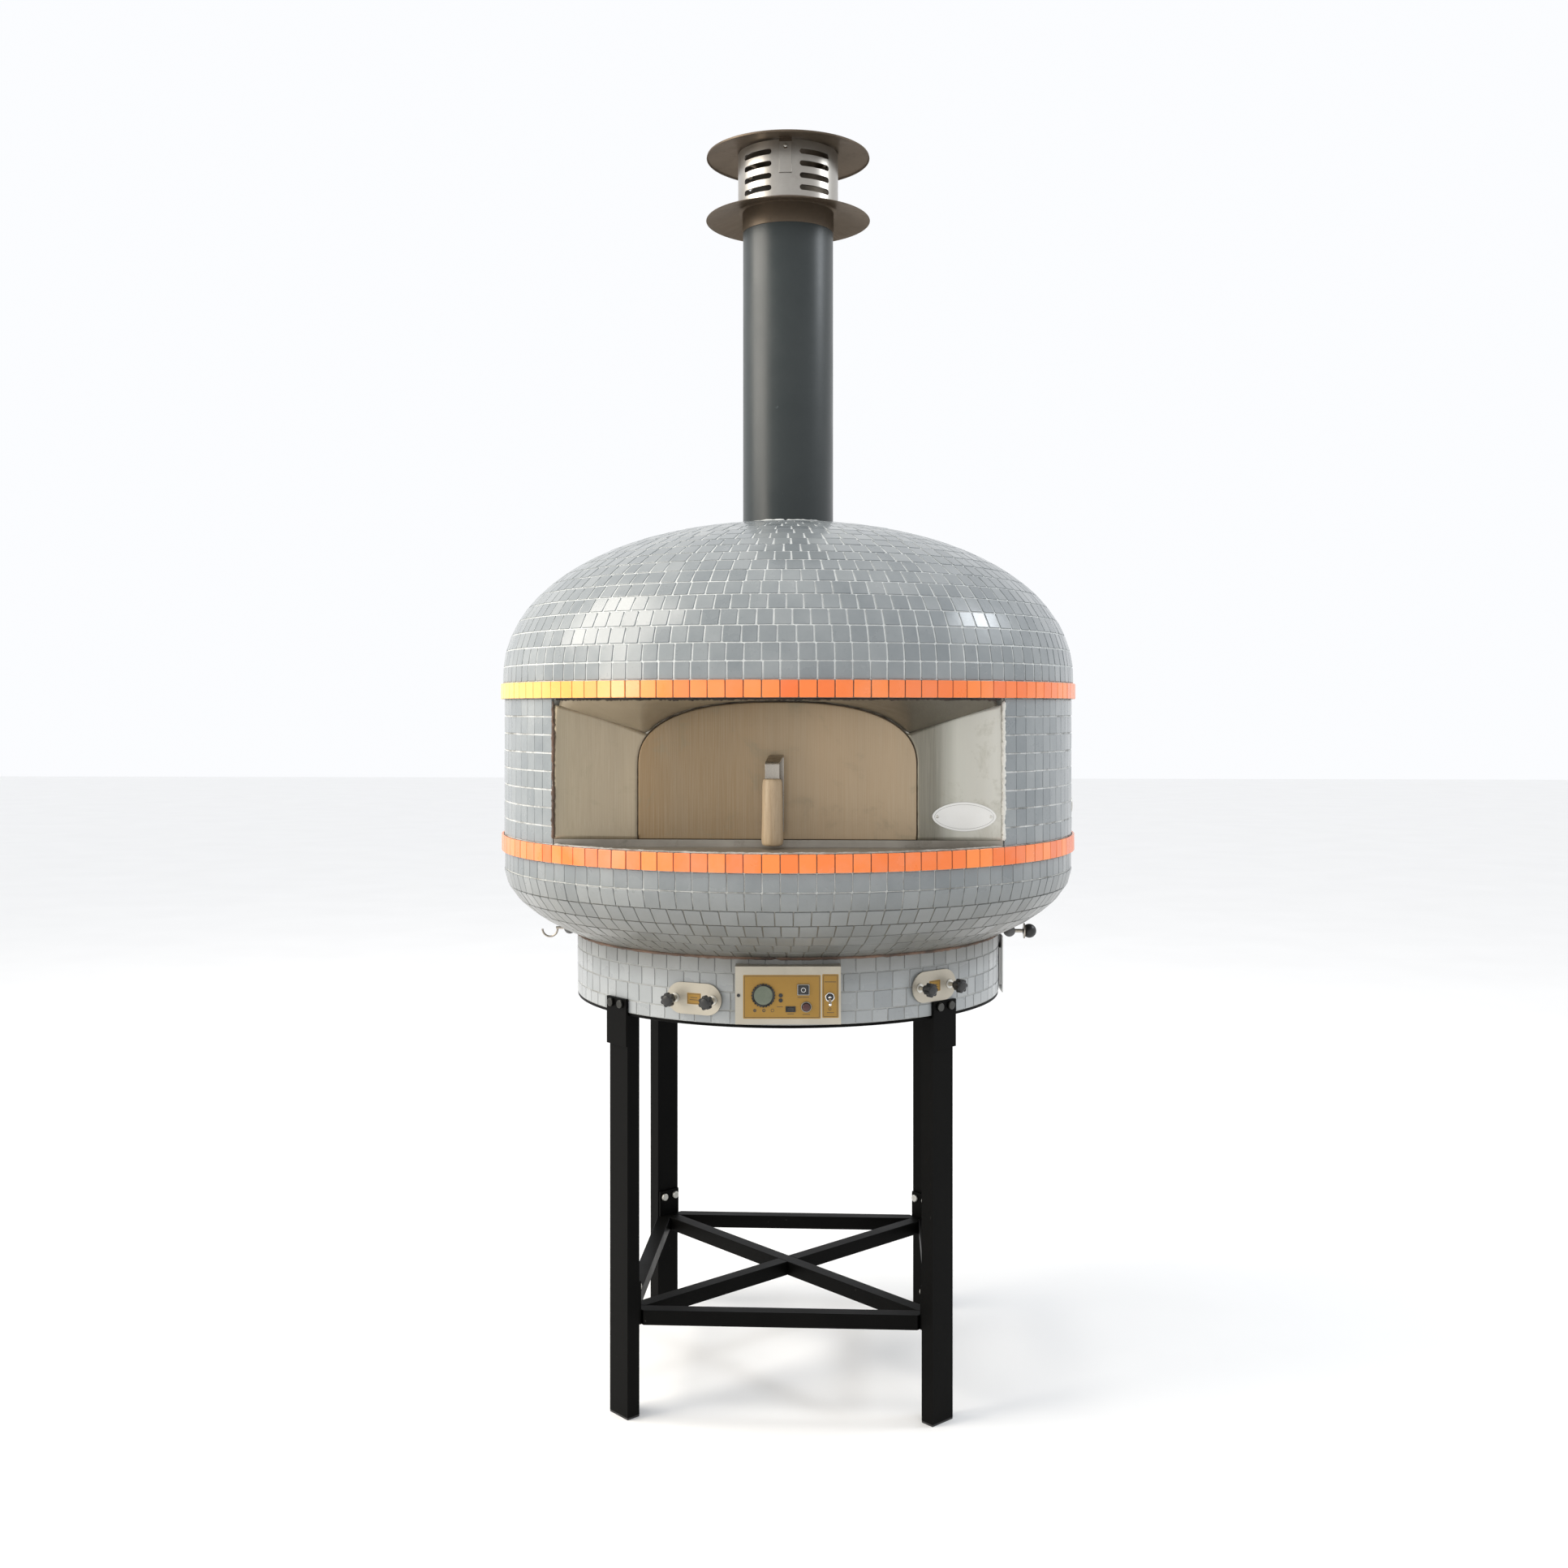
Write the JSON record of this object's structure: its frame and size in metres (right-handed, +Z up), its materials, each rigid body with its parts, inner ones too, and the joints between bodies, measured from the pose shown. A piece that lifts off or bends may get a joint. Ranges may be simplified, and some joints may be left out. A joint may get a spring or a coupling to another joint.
{
  "type": "wood fired pizza oven",
  "caption": "Domed oven clad in mosaic tiles on a drum and a bolted tube stand, with a plug door, a turning floor, a flue with a slotted cowl and an electric control box.",
  "frame": {"origin": "on the floor, under the dome's axis", "axes": "+Z up along the dome's axis, the mouth faces -Y, +X to the right seen from the front"},
  "size_m": [1.2578, 1.258, 2.684],
  "materials": {
    "stand_black": "satin",
    "plug_black": "matte",
    "bolt_zinc": "satin",
    "drum_steel": "satin",
    "tile_grey": "glossy",
    "tile_orange": "glossy",
    "render": "matte",
    "refractory": "matte",
    "insulation": "matte",
    "motor_grey": "satin",
    "cast": "matte",
    "mouth_steel": "brushed",
    "cover_steel": "satin",
    "plate_white": "satin",
    "grip_wood": "oiled",
    "flue_grey": "satin",
    "display_glass": "glossy",
    "switch_black": "satin",
    "chrome": "polished",
    "knob_black": "satin",
    "fitting_steel": "satin"
  },
  "bodies": {
    "oven": {"leg_front_left": "stand_black", "leg_front_right": "stand_black", "leg_rear_left": "stand_black", "leg_rear_right": "stand_black", "foot_plugs": "plug_black", "stand_bolts": "bolt_zinc", "rail_front": "stand_black", "rail_rear": "stand_black", "rail_left": "stand_black", "rail_right": "stand_black", "brace_long": "stand_black", "brace_halves": "stand_black", "corner_tabs": "stand_black", "drum_base_plate": "stand_black", "drum_shell": "drum_steel", "drum_tiles": "tile_grey", "service_cover": "cover_steel", "cable_gland": "plug_black", "bowl_shell": "render", "bowl_tiles": "tile_grey", "floor_plate": "drum_steel", "base_insulation": "insulation", "kerb_ring": "refractory", "hearth_motor": "motor_grey", "hearth_bearing": "cast", "cast_dome": "refractory", "dome_insulation": "insulation", "render_shell": "render", "dome_tiles": "tile_grey", "upper_band": "tile_orange", "wall_tiles": "tile_grey", "lower_band": "tile_orange", "cheek_plates": "mouth_steel", "throat_liner": "mouth_steel", "mouth_hood": "mouth_steel", "sill_plate": "mouth_steel", "name_plate": "plate_white", "flue_pipe": "flue_grey", "cowl_skirt": "cover_steel", "cowl_louver": "cover_steel", "cowl_cap": "cover_steel", "control_box": "cover_steel", "display": "display_glass", "switch_bodies": "switch_black", "port_covers": "cover_steel", "side_fittings": "fitting_steel"},
    "door": {"door_panel": "mouth_steel", "door_bracket": "mouth_steel", "door_grip": "grip_wood"},
    "hearth": {"hearth_shaft": "drum_steel", "hearth_carrier": "drum_steel", "hearth_disc": "refractory"},
    "square_button": {"square_button": "switch_black"},
    "round_button": {"round_button": "switch_black"},
    "rocker": {"rocker": "switch_black"},
    "toggle": {"toggle_lever": "chrome"},
    "knob_1": {"star_knob_1": "knob_black"},
    "knob_2": {"star_knob_2": "knob_black"},
    "knob_3": {"star_knob_3": "knob_black"},
    "knob_4": {"star_knob_4": "knob_black"}
  },
  "joints": [
    {"name": "door_lift_off", "type": "slide", "parent": "oven", "child": "door", "axis": [0, -1, 0], "range_m": [0, 0.6]},
    {"name": "hearth_turn", "type": "hinge", "parent": "oven", "child": "hearth", "pos_m": [0, 0, 1], "axis": [0, 0, 1], "continuous": true},
    {"name": "square_push", "type": "slide", "parent": "oven", "child": "square_button", "axis": [-0.0506, 0.9987, 0], "range_m": [0, 0.0025], "stiffness_N_per_m": 600, "springref_m": -0.003},
    {"name": "round_push", "type": "slide", "parent": "oven", "child": "round_button", "axis": [-0.0506, 0.9987, 0], "range_m": [0, 0.0025], "stiffness_N_per_m": 600, "springref_m": -0.003},
    {"name": "rocker_tip", "type": "hinge", "parent": "oven", "child": "rocker", "pos_m": [0.02933, -0.48414, 0.8595], "axis": [0, 0, 1], "range_deg": [-4, 4]},
    {"name": "toggle_flip", "type": "hinge", "parent": "oven", "child": "toggle", "pos_m": [0.10529, -0.4913, 0.883], "axis": [0.9987, 0.0506, 0], "range_deg": [-64, 0]},
    {"name": "knob_1_turn", "type": "hinge", "parent": "oven", "child": "knob_1", "pos_m": [-0.20984, -0.44909, 0.869], "axis": [-0.3469, -0.9379, 0], "continuous": true},
    {"name": "knob_2_turn", "type": "hinge", "parent": "oven", "child": "knob_2", "pos_m": [-0.13293, -0.47754, 0.869], "axis": [-0.3469, -0.9379, 0], "continuous": true},
    {"name": "knob_3_turn", "type": "hinge", "parent": "oven", "child": "knob_3", "pos_m": [0.29801, -0.39611, 0.883], "axis": [0.6652, -0.7466, 0], "continuous": true},
    {"name": "knob_4_turn", "type": "hinge", "parent": "oven", "child": "knob_4", "pos_m": [0.35924, -0.34157, 0.883], "axis": [0.6652, -0.7466, 0], "continuous": true}
  ]
}
